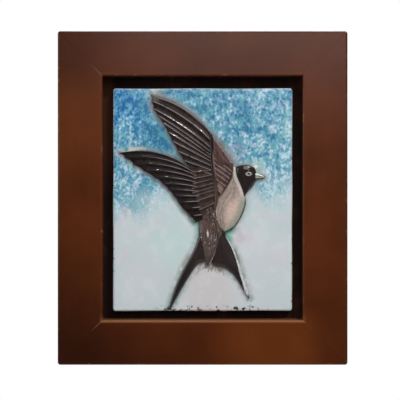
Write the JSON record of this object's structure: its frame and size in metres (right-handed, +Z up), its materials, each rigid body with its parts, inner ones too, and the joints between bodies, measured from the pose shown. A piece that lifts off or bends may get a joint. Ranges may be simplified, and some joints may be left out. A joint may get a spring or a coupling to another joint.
{
  "type": "framed relief tile",
  "caption": "Wall panel: a glazed ceramic tile with a flying swallow in relief, floating on a dark board inside a wide mitred wooden frame.",
  "frame": {"origin": "centre of the backing board's back face, which lies flush with the backs of the rails, in the plane of the wall", "axes": "the front faces -Y, +Y points into the wall, +Z is up and +X is to the right as one looks at the front"},
  "size_m": [0.33, 0.03, 0.38],
  "materials": {
    "frame_wood": "dark brown stain under satin varnish",
    "board": "dark matt paint",
    "tile_glaze": "glossy glaze, blue sponged over white, with a dark brown swallow"
  },
  "bodies": {
    "root": {"frame_rail_top": "frame_wood", "frame_rail_bottom": "frame_wood", "frame_rail_left": "frame_wood", "frame_rail_right": "frame_wood", "backing_board": "board", "relief_tile": "tile_glaze"}
  },
  "joints": []
}
